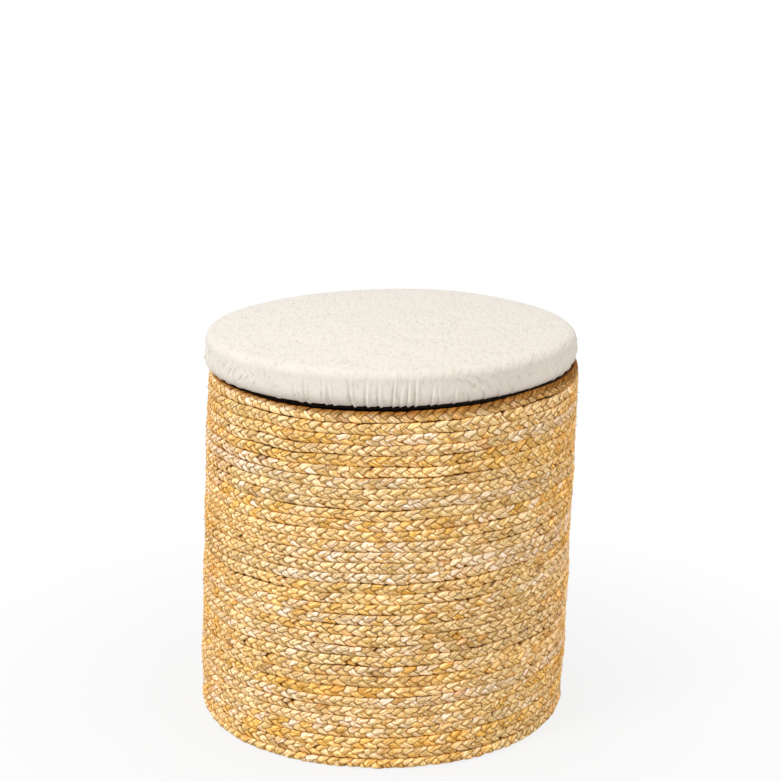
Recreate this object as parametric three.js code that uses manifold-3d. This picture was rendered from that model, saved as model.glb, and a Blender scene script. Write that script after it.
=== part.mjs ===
// A round storage stool: one long plait coiled and stitched over a wire frame,
// with a cotton lining inside and a padded lid that lifts off.
// Millimetres, +Z up. The origin is on the floor, on the stool's own axis.
import * as THREE from 'three';
import { mergeVertices } from 'three/addons/utils/BufferGeometryUtils.js';
import Module from 'manifold-3d';

const wasm = await Module();
wasm.setup();

// The plait
const plaitWidth = 11;
const plaitThickness = 9;
const grooveDepth = 2.4;

// The wall: rows of plait, a little wider at the floor than at the rim
const wallRows = 34;
const baseDiameter = 404;
const rimDiameter = 396;
const baseEdgeRadius = 12;
const rimEdgeRadius = 5;
const footReach = 7;
const baseRecess = 2;

// The wire frame
const ringWire = 6;
const uprightWire = 5;
const uprightCount = 6;
const ringProud = 5;

// The inside
const baseBoardThickness = 5;
const liningThickness = 1.5;
const liningShoulderDrop = 9;

// The lid
const lidDiameter = 394;
const lidBoardThickness = 9;
const lidBoardInset = 1;
const lidBoardBevel = 5;
const foamSideHeight = 24;
const foamCornerRadius = 12;
const crownRise = 5;
const coverThickness = 1.2;
const underClothThickness = 0.8;
const discThickness = 9;
const discHemGap = 2;
const discChamfer = 2;
const elasticWidth = 5;
const elasticThickness = 2;
const hemLiningGap = 1.5;

// The screws that hold the locating disc
const screwCount = 4;
const screwShank = 4;
const screwHead = 8;
const screwHeadHeight = 2.4;
const screwLength = 16;
const screwCircleRadius = 120;

// Gaps and cutting
const seatGap = 0.3;
const cutOverrun = 5;

// Fineness of round forms
const roundSides = 36;
const wireSides = 8;
const screwSides = 12;
const arcSteps = 3;

const fullTurn = 2 * Math.PI;

// Levels, from the floor up
const rimLevel = wallRows * plaitWidth;
const plaitBaseTop = baseRecess + plaitThickness;
const footTop = plaitWidth;
const lowerBarLevel = plaitBaseTop + seatGap + uprightWire / 2;
const bottomRingLevel = lowerBarLevel + uprightWire / 2 + seatGap + ringWire / 2;
const upperBarLevel = lowerBarLevel + uprightWire + seatGap;
const topRingLevel = rimLevel + ringProud - ringWire / 2;
const middleRingLevel = (bottomRingLevel + topRingLevel) / 2;
const baseBoardLevel = bottomRingLevel + ringWire / 2 + seatGap;
const liningBaseLevel = baseBoardLevel + baseBoardThickness + seatGap;
const liningWallLevel = liningBaseLevel + liningThickness + seatGap;
const liningShoulder = rimLevel - liningShoulderDrop;

const coverUnderside = rimLevel + ringProud + seatGap;
const flangeTop = coverUnderside + coverThickness;
const lidBoardLevel = flangeTop + seatGap;
const lidBoardTop = lidBoardLevel + lidBoardThickness;
const foamLevel = lidBoardTop + seatGap;
const underClothLevel = lidBoardLevel - seatGap - underClothThickness;
const discTop = underClothLevel - seatGap;
const discLevel = discTop - discThickness;

// Radii that follow the wall's taper
const outerRadiusAt = (height) => THREE.MathUtils.lerp(baseDiameter, rimDiameter, height / rimLevel) / 2;
const innerRadiusAt = (height) => outerRadiusAt(height) - plaitThickness;
const uprightRadiusAt = (height) => innerRadiusAt(height) - seatGap - uprightWire / 2;
const ringRadiusAt = (height) => uprightRadiusAt(height) - uprightWire / 2 - seatGap - ringWire / 2;
const liningRadiusAt = (height) => ringRadiusAt(height) - ringWire / 2 - seatGap;
const topRingRadius = innerRadiusAt(rimLevel) - seatGap - ringWire / 2;
const liningTopRadius = topRingRadius - ringWire / 2 - seatGap;
const footInnerRadius = innerRadiusAt(footTop) - footReach;
const baseBoardRadius = ringRadiusAt(baseBoardLevel) + ringWire / 2;
const liningBaseRadius = liningRadiusAt(liningBaseLevel);

// Radii of the lid
const lidRadius = lidDiameter / 2;
const foamRadius = lidRadius - coverThickness - seatGap;
const lidBoardRadius = foamRadius - lidBoardInset;
const channelOuterRadius = liningTopRadius - liningThickness - hemLiningGap;
const elasticOuterRadius = channelOuterRadius - coverThickness - seatGap;
const elasticInnerRadius = elasticOuterRadius - elasticWidth;
const channelInnerRadius = elasticInnerRadius - seatGap - coverThickness;
const elasticLevel = flangeTop - elasticThickness;
const channelFloor = elasticLevel - seatGap;
const channelUnderside = channelFloor - coverThickness;
const underClothRadius = channelInnerRadius - seatGap;
const discRadius = channelInnerRadius - discHemGap;

// Materials
const finish = (name, color, roughness, metalness = 0) =>
  new THREE.MeshStandardMaterial({ name, color, roughness, metalness });
const straw = finish('plaited_straw', 0xc9a56c, 0.85);
const steelWire = finish('black_wire', 0x2f3032, 0.45, 0.8);
const board = finish('fibreboard', 0xb08d62, 0.8);
const cotton = finish('lining_cotton', 0xe6dfd0, 0.95);
const linen = finish('cover_cloth', 0xece5d9, 0.95);
const foam = finish('foam', 0xf2ead2, 0.9);
const elastic = finish('elastic', 0xf4f2ec, 0.7);
const zinc = finish('zinc_screw', 0xb9bcc0, 0.35, 1);

// Geometry helpers

// A profile of [radius, height] points turned about +Z.
function turned(profile, sides = roundSides) {
  const points = profile.map(([radius, height]) => new THREE.Vector2(radius, height));
  return new THREE.LatheGeometry(points, sides).rotateX(Math.PI / 2);
}

function ring(profile) {
  return turned([...profile, profile[0]]);
}

function disc(radius, underside, thickness) {
  const top = underside + thickness;
  return turned([[0, underside], [radius, underside], [radius, top], [0, top]]);
}

function wireRing(radius, level) {
  const geometry = new THREE.TorusGeometry(radius, ringWire / 2, wireSides, roundSides);
  return geometry.translate(0, 0, level);
}

function wireBetween(start, end, diameter) {
  const along = new THREE.Vector3().subVectors(end, start);
  const geometry = new THREE.CylinderGeometry(diameter / 2, diameter / 2, along.length(), wireSides);
  const turn = new THREE.Quaternion().setFromUnitVectors(THREE.Object3D.DEFAULT_UP, along.normalize());
  geometry.applyQuaternion(turn);
  const middle = new THREE.Vector3().addVectors(start, end).multiplyScalar(1 / 2);
  return geometry.translate(middle.x, middle.y, middle.z);
}

function solidOf(geometry) {
  const bare = new THREE.BufferGeometry();
  bare.setAttribute('position', geometry.getAttribute('position').clone());
  bare.setIndex(geometry.getIndex());
  const merged = mergeVertices(bare);
  const mesh = new wasm.Mesh({
    numProp: 3,
    vertProperties: merged.getAttribute('position').array,
    triVerts: new Uint32Array(merged.getIndex().array),
  });
  return new wasm.Manifold(mesh);
}

function geometryOf(solid) {
  const mesh = solid.getMesh();
  const geometry = new THREE.BufferGeometry();
  geometry.setAttribute('position', new THREE.BufferAttribute(mesh.vertProperties, mesh.numProp));
  geometry.setIndex(new THREE.BufferAttribute(mesh.triVerts, 1));
  geometry.computeVertexNormals();
  return geometry;
}

// Coiled plait

// One row across its width: a groove, then a flat crest on the wall, or a plain one under
// the base. `at` and `deep` are shares of the plait's width and of the groove's depth.
const wallRowShares = [
  { at: 0, deep: 1 },
  { at: 0.3, deep: 0 },
  { at: 0.7, deep: 0 },
];
const baseRowShares = [
  { at: 0, deep: 1 },
  { at: 0.5, deep: 0 },
];

// A body whose skin is one unbroken coil: each column of points starts a little further
// along the coil than the last, and after a full turn it meets the next row.
// placeAt(turns, deep) gives [radius, height], and the two ends close on the axis.
function coiledBody(rows, rowShares, placeAt, startHeight, endHeight) {
  const stepsPerRow = rowShares.length;
  const lastStep = rows * stepsPerRow;
  const positions = [];
  const faces = [];
  const columnPoints = lastStep + stepsPerRow + 1;
  const corner = (column, step) => {
    const stepOn = column === roundSides ? stepsPerRow : 0;
    return (column % roundSides) * columnPoints + step + stepOn;
  };

  for (let column = 0; column < roundSides; column += 1) {
    const angle = (fullTurn * column) / roundSides;
    for (let step = 0; step < columnPoints; step += 1) {
      const share = rowShares[step % stepsPerRow];
      const turns = Math.floor(step / stepsPerRow) + share.at + column / roundSides;
      const [radius, height] = placeAt(turns, share.deep);
      positions.push(radius * Math.cos(angle), radius * Math.sin(angle), height);
    }
  }
  const startPoint = positions.length / 3;
  positions.push(0, 0, startHeight, 0, 0, endHeight);
  const endPoint = startPoint + 1;

  for (let column = 0; column < roundSides; column += 1) {
    for (let step = 0; step < lastStep; step += 1) {
      const here = corner(column, step);
      const next = corner(column + 1, step);
      faces.push(here, next, next + 1, here, next + 1, here + 1);
    }
    faces.push(startPoint, corner(column + 1, 0), corner(column, 0));
    faces.push(endPoint, corner(column, lastStep), corner(column + 1, lastStep));
  }
  for (let step = 0; step < stepsPerRow; step += 1) {
    faces.push(startPoint, corner(0, step), corner(0, step + 1));
    faces.push(endPoint, corner(0, lastStep + step + 1), corner(0, lastStep + step));
  }
  const geometry = new THREE.BufferGeometry();
  geometry.setAttribute('position', new THREE.Float32BufferAttribute(positions, 3));
  geometry.setIndex(faces);
  return geometry;
}

// How far a rounded edge draws the wall in, at a height above or below that edge
function edgeInset(fromEdge, edgeRadius) {
  const within = THREE.MathUtils.clamp(edgeRadius - fromEdge, 0, edgeRadius);
  return edgeRadius - Math.sqrt(edgeRadius ** 2 - within ** 2);
}

// The wall: the coil's ribbed outside, over a ring cut flat at the floor and the rim
function plaitWall() {
  const spareRows = 2;
  const coil = coiledBody(
    wallRows + 2 * spareRows,
    wallRowShares,
    (turns, deep) => {
      const height = (turns - spareRows) * plaitWidth;
      const inset = edgeInset(height, baseEdgeRadius) + edgeInset(rimLevel - height, rimEdgeRadius);
      return [outerRadiusAt(height) - inset - deep * grooveDepth, height];
    },
    -spareRows * plaitWidth,
    rimLevel + spareRows * plaitWidth,
  );
  const blankRadius = Math.max(baseDiameter, rimDiameter) / 2 + cutOverrun;
  const blank = ring([
    [footInnerRadius, 0],
    [blankRadius, 0],
    [blankRadius, rimLevel],
    [innerRadiusAt(rimLevel), rimLevel],
    [innerRadiusAt(footTop), footTop],
    [footInnerRadius, footTop],
  ]);
  return geometryOf(solidOf(coil).intersect(solidOf(blank)));
}

// The base: the same plait coiled flat, ribbed underneath, cut round to fit inside the foot
function plaitBase() {
  const radius = footInnerRadius - seatGap;
  const coil = coiledBody(
    Math.ceil(radius / plaitWidth),
    baseRowShares,
    (turns, deep) => [turns * plaitWidth, baseRecess + deep * grooveDepth],
    baseRecess,
    plaitBaseTop + cutOverrun,
  );
  const blank = disc(radius, 0, plaitBaseTop);
  return geometryOf(solidOf(coil).intersect(solidOf(blank)));
}

// The lid

// The foam's side, rounded upper corner and crown, from its underside to the axis,
// moved outward by `out`
function foamOutline(out) {
  const sideTop = foamLevel + foamSideHeight - foamCornerRadius;
  const cornerCentre = foamRadius - foamCornerRadius;
  const crownShares = [0.7, 0.4, 0];
  const outline = [[foamRadius + out, foamLevel]];
  for (let step = 0; step <= arcSteps; step += 1) {
    const angle = ((Math.PI / 2) * step) / arcSteps;
    const reach = foamCornerRadius + out;
    outline.push([cornerCentre + reach * Math.cos(angle), sideTop + reach * Math.sin(angle)]);
  }
  for (const share of crownShares) {
    const height = foamLevel + foamSideHeight + out + crownRise * (1 - share ** 2);
    outline.push([cornerCentre * share, height]);
  }
  return outline;
}

// The board's bevelled lower edge, moved outward by `out`
function bevelOutline(out) {
  const shift = out * Math.tan(Math.PI / 8);
  return [
    [lidBoardRadius - lidBoardBevel + shift, lidBoardLevel - out],
    [lidBoardRadius + out, lidBoardLevel + lidBoardBevel - shift],
  ];
}

function lidFoam() {
  return turned([[0, foamLevel], ...foamOutline(0)]);
}

// The cover: drawn over the pad, round the board's edge and under it, to a hem channel
// that hangs just inside the top ring and holds the elastic
function lidCover() {
  const surface = (out) => [...bevelOutline(out), ...foamOutline(out)];
  const outside = surface(seatGap + coverThickness);
  const inside = surface(seatGap);
  const hem = [
    [channelOuterRadius, coverUnderside],
    [channelOuterRadius, channelUnderside],
    [channelInnerRadius, channelUnderside],
    [channelInnerRadius, flangeTop],
    [channelInnerRadius + coverThickness, flangeTop],
    [channelInnerRadius + coverThickness, channelFloor],
    [channelOuterRadius - coverThickness, channelFloor],
    [channelOuterRadius - coverThickness, flangeTop],
  ];
  return turned([...outside.reverse(), ...hem, ...inside].reverse());
}

function hemElastic() {
  return ring([
    [elasticInnerRadius, elasticLevel],
    [elasticOuterRadius, elasticLevel],
    [elasticOuterRadius, flangeTop],
    [elasticInnerRadius, flangeTop],
  ]);
}

// A countersunk screw, head down, grown by `spare` for the hole it sits in
function screw(spare = 0) {
  const headRadius = screwHead / 2 + spare;
  const shankRadius = screwShank / 2 + spare;
  return turned(
    [
      [0, discLevel - spare],
      [headRadius, discLevel - spare],
      [shankRadius, discLevel + screwHeadHeight],
      [shankRadius, discLevel + screwLength - shankRadius],
      [0, discLevel + screwLength + spare],
    ],
    screwSides,
  );
}

function screwPlaces() {
  return Array.from({ length: screwCount }, (_, index) => {
    const angle = (fullTurn * (index + 1 / 2)) / screwCount;
    return [screwCircleRadius * Math.cos(angle), screwCircleRadius * Math.sin(angle)];
  });
}

function drilled(geometry) {
  const holes = screwPlaces().map(([x, y]) => solidOf(screw(seatGap).translate(x, y, 0)));
  return geometryOf(holes.reduce((solid, hole) => solid.subtract(hole), solidOf(geometry)));
}

function lidBoard() {
  return drilled(
    turned([
      [0, lidBoardLevel],
      ...bevelOutline(0),
      [lidBoardRadius, lidBoardTop],
      [0, lidBoardTop],
    ]),
  );
}

function underCloth() {
  return drilled(disc(underClothRadius, underClothLevel, underClothThickness));
}

function locatingDisc() {
  return drilled(
    turned([
      [0, discLevel],
      [discRadius - discChamfer, discLevel],
      [discRadius, discLevel + discChamfer],
      [discRadius, discTop],
      [0, discTop],
    ]),
  );
}

// The inside and the frame

// The lining wall hangs inside the hoops, and its upper edge flares out to the top one
function liningWall() {
  const outside = [
    [liningRadiusAt(liningWallLevel), liningWallLevel],
    [liningRadiusAt(liningShoulder), liningShoulder],
    [liningTopRadius, topRingLevel - ringWire / 2],
    [liningTopRadius, topRingLevel],
  ];
  const inside = outside.map(([radius, level]) => [radius - liningThickness, level]);
  return ring([...outside, ...inside.reverse()]);
}

function upright(index) {
  const angle = (fullTurn * index) / uprightCount;
  const startLevel = footTop + seatGap;
  const endLevel = topRingLevel - ringWire / 2 - seatGap;
  const at = (level) => {
    const radius = uprightRadiusAt(level);
    return new THREE.Vector3(radius * Math.cos(angle), radius * Math.sin(angle), level);
  };
  return wireBetween(at(startLevel), at(endLevel), uprightWire);
}

function lowerBar() {
  const reach = ringRadiusAt(bottomRingLevel);
  return wireBetween(
    new THREE.Vector3(-reach, 0, lowerBarLevel),
    new THREE.Vector3(reach, 0, lowerBarLevel),
    uprightWire,
  );
}

function upperBar() {
  const reach = ringRadiusAt(bottomRingLevel) - ringWire / 2 - seatGap;
  return wireBetween(
    new THREE.Vector3(0, -reach, upperBarLevel),
    new THREE.Vector3(0, reach, upperBarLevel),
    uprightWire,
  );
}

// The assembly

function piece(name, geometry, material) {
  const mesh = new THREE.Mesh(geometry, material);
  mesh.name = name;
  return mesh;
}

const basket = new THREE.Group();
basket.add(
  piece('plait_wall', plaitWall(), straw),
  piece('plait_base', plaitBase(), straw),
  piece('frame_bottom_ring', wireRing(ringRadiusAt(bottomRingLevel), bottomRingLevel), steelWire),
  piece('frame_middle_ring', wireRing(ringRadiusAt(middleRingLevel), middleRingLevel), steelWire),
  piece('frame_top_ring', wireRing(topRingRadius, topRingLevel), steelWire),
  piece('frame_lower_bar', lowerBar(), steelWire),
  piece('frame_upper_bar', upperBar(), steelWire),
  piece('base_board', disc(baseBoardRadius, baseBoardLevel, baseBoardThickness), board),
  piece('lining_base', disc(liningBaseRadius, liningBaseLevel, liningThickness), cotton),
  piece('lining_wall', liningWall(), cotton),
);
for (let index = 0; index < uprightCount; index += 1) {
  basket.add(piece(`frame_upright_${index + 1}`, upright(index), steelWire));
}

const lid = new THREE.Group();
lid.add(
  piece('lid_board', lidBoard(), board),
  piece('lid_foam', lidFoam(), foam),
  piece('lid_cover', lidCover(), linen),
  piece('hem_elastic', hemElastic(), elastic),
  piece('lid_under_cloth', underCloth(), cotton),
  piece('locating_disc', locatingDisc(), board),
);
screwPlaces().forEach(([x, y], index) => {
  const mesh = piece(`disc_screw_${index + 1}`, screw(), zinc);
  mesh.position.set(x, y, 0);
  lid.add(mesh);
});

const stool = new THREE.Group();
stool.add(basket, lid);

export default stool;
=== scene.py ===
# Looks for a round storage stool of coiled plait with a padded, cloth-covered lid.
# Metres, +Z up, the origin on the floor on the stool's own axis, -Y towards the camera.
import math

import bpy
import numpy as np
from mathutils import Euler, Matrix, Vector


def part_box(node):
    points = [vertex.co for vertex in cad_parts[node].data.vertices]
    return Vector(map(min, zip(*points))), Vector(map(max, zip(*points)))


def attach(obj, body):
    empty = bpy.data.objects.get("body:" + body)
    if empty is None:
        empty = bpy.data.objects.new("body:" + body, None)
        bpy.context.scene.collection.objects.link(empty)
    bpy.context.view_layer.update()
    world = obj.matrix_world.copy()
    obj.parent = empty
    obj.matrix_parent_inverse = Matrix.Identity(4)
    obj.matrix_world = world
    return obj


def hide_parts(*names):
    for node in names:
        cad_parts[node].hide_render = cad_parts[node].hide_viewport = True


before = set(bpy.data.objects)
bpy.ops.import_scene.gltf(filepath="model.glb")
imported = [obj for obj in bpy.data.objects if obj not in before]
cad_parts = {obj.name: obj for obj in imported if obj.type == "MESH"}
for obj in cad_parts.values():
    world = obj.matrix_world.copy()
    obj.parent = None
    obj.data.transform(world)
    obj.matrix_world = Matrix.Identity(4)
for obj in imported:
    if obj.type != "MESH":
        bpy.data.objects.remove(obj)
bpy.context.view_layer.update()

mm = 0.001
degree = math.pi / 180
full_turn = 2 * math.pi
quarter_turn = math.pi / 2

# A value with two numbers is a range: the ends of a smooth change, of a limit or of a random draw.
# Values named noise are a seed and a spacing, or for noise round a piece: a seed, the number of waves,
# the most waves in a turn and the shortest wave upward. Values named rate count marks in a metre.

# The plait and its coil
row_width = 11 * mm
row_depth = 9 * mm
wall_rows = 34
rim_level = wall_rows * row_width
base_radius = 202 * mm
rim_radius = 198 * mm
corner_radius = 1 * mm
corner_level = 5.5 * mm
rim_curl_radius = 40 * mm
rim_curl_level = 358 * mm
base_recess = 2 * mm
recess_radii = (165 * mm, 185 * mm)
coil_start_radius = 5 * mm
coil_end_angle = quarter_turn
coil_end_gap_turns = 0.03
coil_samples = 60000
jog_share = 0.22
level_from_row = 24
level_to_row = 31
row_step = 1.0 * mm
wall_bands = 8
underside_end_turn = -0.5

# The handmade body leans a little to +X, and its rim stands a little higher there
lean_at_rim = 6 * mm
lean_at_floor = -7 * mm
rim_tilt = 0.016

# Its foot flares, its rim rises away from the front and swells at the front right, and its rows waver
foot_flare = 3 * mm
foot_flare_level = 14 * mm
foot_radii = (185 * mm, 198 * mm)
foot_oval = 3 * mm
foot_square = 1.3 * mm
foot_oval_level = 60 * mm
foot_oval_radii = (120 * mm, 198 * mm)
rim_rise = 3 * mm
rim_rise_level = 325 * mm
rim_rise_start = 12 * degree
rim_rise_end = 50 * degree
rim_swell = 1.3 * mm
rim_swell_place = -54 * degree
rim_swell_width = 20 * degree
waver_start_levels = (20 * mm, 60 * mm)
waver_end_levels = (350 * mm, 372 * mm)
waver_out = 0.9 * mm
waver_out_noise = (11, 14, 9, 60 * mm)
waver_up = 1.2 * mm
waver_up_noise = (12, 20, 18, 55 * mm)

# The strands of the plait show as two lines of petals, one above and one below its middle
strand_count = 3
petal_pitch = 12.17 * mm
petal_angle = 30 * degree
petal_half_length = 8.3 * mm
petal_half_width = 4.1 * mm
petal_height = 2.1 * mm
petal_slope = 0.08
petal_place = 2.75 * mm
petal_reach = 5.9 * mm
petal_ground = 0.6 * mm
petal_side_power = 2.6
petal_round_power = 0.6
petal_start_shares = (-0.95, -0.3)
petal_end_shares = (0.9, 1.2)
petal_edge_cut = 1.2 * mm
petal_edges = (-0.7 * mm, 0.2 * mm)
spare_petals = 2
petal_seed = 200
petal_fibre_shifts = np.array([31, 17]) * mm

# How far the petals differ from each other
petal_wander_share = 0.1
petal_turn = 7 * degree
petal_slow_turn = 5 * degree
petal_turn_noise = (210, 60 * mm)
petal_width_share = 0.19
petal_length_share = 0.09
petal_height_share = 0.26
petal_place_change = 0.55 * mm
petal_reach_change = 0.45 * mm
petal_loose_change = 0.75 * mm
petal_loose_noise = (220, 75 * mm)
gap_petals_share = 0.012
gap_size_share = 0.6
slide_far = 9 * mm
slide_far_noise = (93, 310 * mm)
slide_near = 4 * mm
slide_near_noise = (94, 110 * mm)
petals_waver = 0.35 * mm
petals_waver_noise = (91, 23 * mm)

# The plait's own cross-section, and the grooves between its rows
front_places = np.array(
    [-5.5, -5.1, -4.4, -3.6, -2.8, -2, -1.2, -0.4, 0.4, 1.2, 2, 2.8, 3.6, 4.4, 5.1, 5.5]
) * mm
front_level = 1.1 * mm
row_crown = 1.6 * mm
row_half = 5.5 * mm
back_half = 5.6 * mm
back_level = -4.4 * mm
shoulder_level = 0.5 * mm
end_flat_share = 0.3
floor_flat_share = 0.5
floor_flat_level = 8 * mm
groove_start = 4.9 * mm
groove_depth = 0.3 * mm
row_girth = full_turn * 195 * mm
tight_middle_share = 0.75
tight_change_share = 0.85
tight_limit_shares = (0.05, 1.4)
tight_noise = (92, 80 * mm)

# The wire frame
ring_wire = 6 * mm
upright_wire = 5 * mm
upright_count = 6
seat_gap = 0.3 * mm
top_ring_level = 376 * mm
foot_top = 11 * mm

# The lid, set down a little to +X
lid_shift = 3.5 * mm
lid_radius = 197.5 * mm
cover_underside = 379.3 * mm
side_top_level = 406.1 * mm
side_foot_level = 393.5 * mm
lid_corner_radius = 9.5 * mm
lid_crown = 7.2 * mm
flange_radius = 186.5 * mm
channel_outer_radius = 178.4 * mm
channel_inner_radius = 171.2 * mm
channel_underside = 376.7 * mm
channel_lip = 0.5 * mm
channel_corner = 1.2 * mm
flange_top = 380.5 * mm
cloth_thickness = 0.9 * mm
tilt_fade_levels = (384 * mm, 414 * mm)


def smoothstep(low, high, value):
    share = np.clip((value - low) / (high - low), 0, 1)
    return share * share * (3 - 2 * share)


def leaned(points):
    """The points, moved by the body's lean and tilt at their height."""
    share = points[:, 2] / rim_level
    moved = points.copy()
    moved[:, 0] += lean_at_floor + (lean_at_rim - lean_at_floor) * share
    moved[:, 2] += rim_tilt * points[:, 0] * np.clip(share, 0, 1)
    return moved


def set_down(points):
    """The lid's points, moved to where it lies on the tilted rim. Its pad evens the tilt out."""
    moved = points.copy()
    moved[:, 0] += lid_shift
    moved[:, 2] += rim_tilt * points[:, 0] * (1 - smoothstep(*tilt_fade_levels, points[:, 2]))
    return moved


def angle_from(place, angle):
    """How far round each angle lies from a place, from minus to plus half a turn."""
    return (angle - place + math.pi) % full_turn - math.pi


# Noise


def noise_along(kind, length, more_seed=0):
    """Smooth noise from -1 to 1 with one knot at each spacing along a length."""
    seed, spacing = kind
    places = length / spacing
    first = math.floor(float(places.min()))
    last = math.floor(float(places.max())) + 2
    knots = np.random.default_rng(seed + more_seed).uniform(-1, 1, last - first + 1)
    cell = np.floor(places).astype(int) - first
    share = smoothstep(0, 1, places - np.floor(places))
    return knots[cell] * (1 - share) + knots[cell + 1] * share


def noise_round(kind, angle, level):
    """Smooth noise from about -1 to 1 on a round piece, periodic round it."""
    seed, waves, most_turns, least_length = kind
    rng = np.random.default_rng(seed)
    total = np.zeros(np.broadcast(angle, level).shape)
    for _ in range(waves):
        turns = rng.integers(1, most_turns + 1)
        rate = rng.uniform(-1, 1) * full_turn / least_length
        total += np.cos(turns * angle + rate * level + rng.uniform(0, full_turn))
    return total / math.sqrt(waves / 2) / 2


# Meshes


def new_object(name, points, faces):
    """A smooth mesh object from an array of points and a list of arrays of faces of one size each."""
    mesh = bpy.data.meshes.new(name)
    mesh.vertices.add(len(points))
    mesh.vertices.foreach_set("co", np.asarray(points, np.float32).ravel())
    sizes = np.concatenate([np.full(len(group), group.shape[1]) for group in faces])
    corners = np.concatenate([group.ravel() for group in faces])
    mesh.loops.add(len(corners))
    mesh.loops.foreach_set("vertex_index", corners.astype(np.int32))
    mesh.polygons.add(len(sizes))
    starts = np.concatenate([[0], np.cumsum(sizes)[:-1]])
    mesh.polygons.foreach_set("loop_start", starts.astype(np.int32))
    mesh.polygons.foreach_set("use_smooth", np.full(len(sizes), True))
    mesh.update(calc_edges=True)
    made = bpy.data.objects.new(name, mesh)
    bpy.context.scene.collection.objects.link(made)
    return made


def add_uv(made, name, places):
    layer = made.data.uv_layers.new(name=name)
    layer.data.foreach_set("uv", np.asarray(places, np.float32).ravel())


def add_colour(made, name, colours):
    layer = made.data.color_attributes.new(name, "FLOAT_COLOR", "POINT")
    full = np.concatenate([colours, np.ones((len(colours), 1))], axis=1)
    layer.data.foreach_set("color", full.astype(np.float32).ravel())


def finished(piece, material, body, cad_node):
    """Gives a piece its material and its body, and hides the solid that it stands for."""
    piece.data.materials.append(material)
    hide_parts(cad_node)
    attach(piece, body)


# The coil: one path from the middle of the underside, round the lower corner, up the wall

wall_inset = row_depth / 2


def wall_radius(level):
    return base_radius + (rim_radius - base_radius) * level / rim_level - wall_inset


corner_centre = wall_radius(corner_level) - corner_radius
corner_length = corner_radius * quarter_turn
wall_start = corner_centre + corner_length
floor_turn = corner_level / row_width
first_turn = floor_turn - (wall_start - coil_start_radius) / row_width


def coil_angle(turns):
    return full_turn * turns + coil_end_angle


def jog(share):
    """Level for most of a turn, then a climb of one row."""
    return smoothstep(1 - jog_share, 1, share)


def row_scale(turns):
    """The plait thins out over the end of its last row."""
    return 1 - jog(np.clip(turns - wall_rows + 1, 0, 1))


def row_level(turns):
    """The height of the plait's centreline on the wall, as if the wall went on below the corner."""
    level_rows = np.floor(turns) + jog(turns - np.floor(turns)) + 1 / 2
    blend = smoothstep(level_from_row, level_to_row, turns)
    level = row_width * (turns * (1 - blend) + level_rows * blend)
    last_row = rim_level - row_width / 2 * row_scale(turns)
    return np.where(turns > wall_rows - 1, last_row, level)


def coil_section(distance):
    """Radius, height and turn from level of the true coil, at a distance out and up its section."""
    turned_up = np.clip((distance - corner_centre) / corner_radius, 0, quarter_turn)
    flat = np.minimum(distance, corner_centre)
    recess = base_recess * (1 - smoothstep(*recess_radii, flat))
    corner_height = corner_level - corner_radius * np.cos(turned_up) + recess
    on_wall = distance > wall_start
    wall_level = corner_level + distance - wall_start
    curl = np.clip((wall_level - rim_curl_level) / rim_curl_radius, 0, None)
    curled_level = rim_curl_level + rim_curl_radius * np.sin(curl)
    curled_in = rim_curl_radius * (1 - np.cos(curl))
    radius = np.where(on_wall, wall_radius(wall_level) - curled_in, flat + corner_radius * np.sin(turned_up))
    level = np.where(on_wall, np.where(curl > 0, curled_level, wall_level), corner_height)
    return radius, level, turned_up + curl


def made_uneven(angle, radius, level):
    """Radius and height with the unevenness of handwork."""
    near_floor = smoothstep(*foot_radii, radius) * (1 - smoothstep(0, foot_flare_level, level))
    radius = radius + foot_flare * near_floor
    low = smoothstep(*foot_oval_radii, radius) * (1 - smoothstep(0, foot_oval_level, level))
    radius = radius - foot_oval * np.cos(2 * angle) * low + foot_square * (1 - np.cos(4 * angle)) * low
    in_front = smoothstep(math.cos(rim_rise_end), math.cos(rim_rise_start), -np.sin(angle))
    swell = rim_swell * np.exp(-((angle_from(rim_swell_place, angle) / rim_swell_width) ** 2))
    level = level + (rim_rise * (1 - in_front) + swell) * smoothstep(rim_rise_level, rim_level, level)
    share = smoothstep(*waver_start_levels, level) * (1 - smoothstep(*waver_end_levels, level))
    radius = radius + share * waver_out * noise_round(waver_out_noise, angle, level)
    level = level + share * waver_up * noise_round(waver_up_noise, angle, level)
    return radius, level


def coil_frame(turns, place=0):
    """The centre, along, across and outward directions of the plait, at a place across its row."""
    angle = coil_angle(turns) + 0 * place
    distance = wall_start + row_level(turns) - corner_level
    distance = np.where(turns < level_from_row, wall_start + (turns - floor_turn) * row_width, distance)
    radius, level, turned_up = coil_section(distance + place)
    radius, level = made_uneven(angle, radius, level)
    cos, sin = np.cos(angle), np.sin(angle)
    outward_flat = np.stack([cos, sin, np.zeros_like(cos)], axis=-1)
    up = np.array([0, 0, 1])
    centre = outward_flat * radius[..., None] + up * level[..., None]
    along = np.stack([-sin, cos, np.zeros_like(cos)], axis=-1)
    rise, reach = np.sin(turned_up)[..., None], np.cos(turned_up)[..., None]
    across = outward_flat * reach + up * rise
    outward = outward_flat * rise - up * reach
    return centre, along, across, outward


def coil_places():
    """Turns at even steps of length along the whole coil, and the length at each."""
    fine = np.linspace(first_turn, wall_rows - coil_end_gap_turns, coil_samples)
    centre = coil_frame(fine)[0]
    length = np.concatenate([[0], np.cumsum(np.linalg.norm(np.diff(centre, axis=0), axis=1))])
    steps = np.arange(0, length[-1], row_step)
    return np.interp(steps, length, fine), steps


# Colours of the dry leaf, given as red, green and blue from 0 to 255 on the screen


def linear(red, green, blue):
    """A screen colour as the linear one that the materials take."""
    screen = np.array([red, green, blue]) / 255
    return np.where(screen > 0.04045, ((screen + 0.055) / 1.055) ** 2.4, screen / 12.92)


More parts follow.
